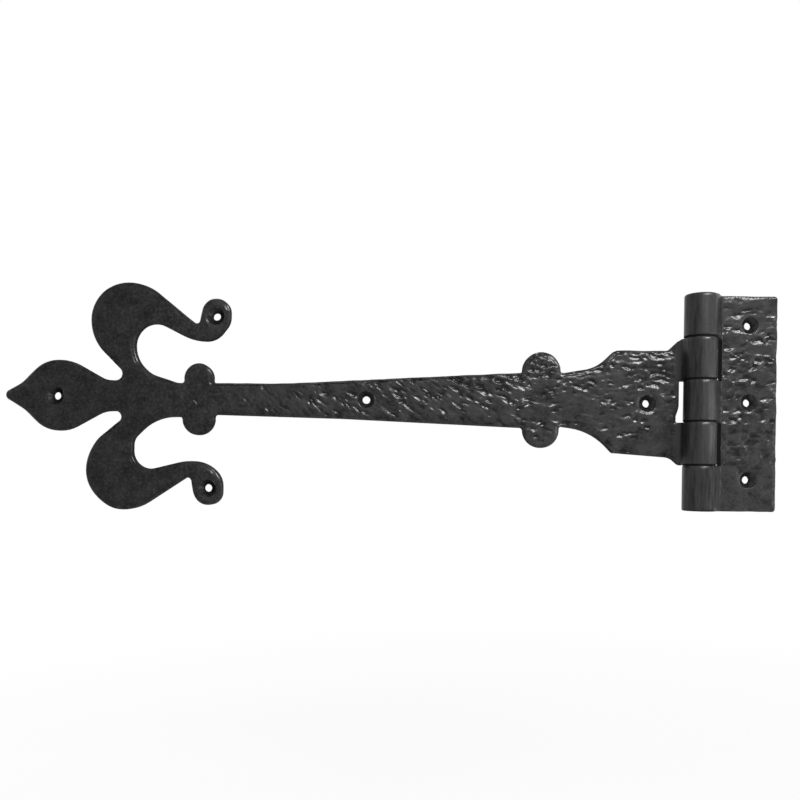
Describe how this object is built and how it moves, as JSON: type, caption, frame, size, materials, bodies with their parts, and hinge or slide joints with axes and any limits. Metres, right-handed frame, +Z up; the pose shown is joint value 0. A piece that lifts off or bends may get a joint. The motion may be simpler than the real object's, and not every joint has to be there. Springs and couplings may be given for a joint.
{
  "type": "tee hinge",
  "caption": "Cast tee hinge: a long tapered strap with a fleur-de-lis end swings on a fixed pin beside a rectangular jamb leaf; both leaves have countersunk screw holes.",
  "frame": {"origin": "centre of the jamb leaf's middle screw hole, on the back plane of both leaves, which is also the centre of its row of screws", "axes": "+X across from the strap's tip to the jamb leaf, +Y into the wood behind the hinge, +Z up along the pin; stored closed, with both leaves in one plane"},
  "size_m": [0.4235, 0.0176, 0.125],
  "materials": {
    "black_casting": "satin black lacquer over a hammered casting",
    "black_pin": "satin black"
  },
  "bodies": {
    "jamb": {"jamb_leaf": "black_casting", "hinge_pin": "black_pin"},
    "strap": {"strap_leaf": "black_casting"}
  },
  "joints": [
    {"name": "strap_swing", "type": "hinge", "parent": "jamb", "child": "strap", "pos_m": [-0.0286, -0.0088, 0], "axis": [0, 0, 1], "range_deg": [-95, 187]}
  ]
}
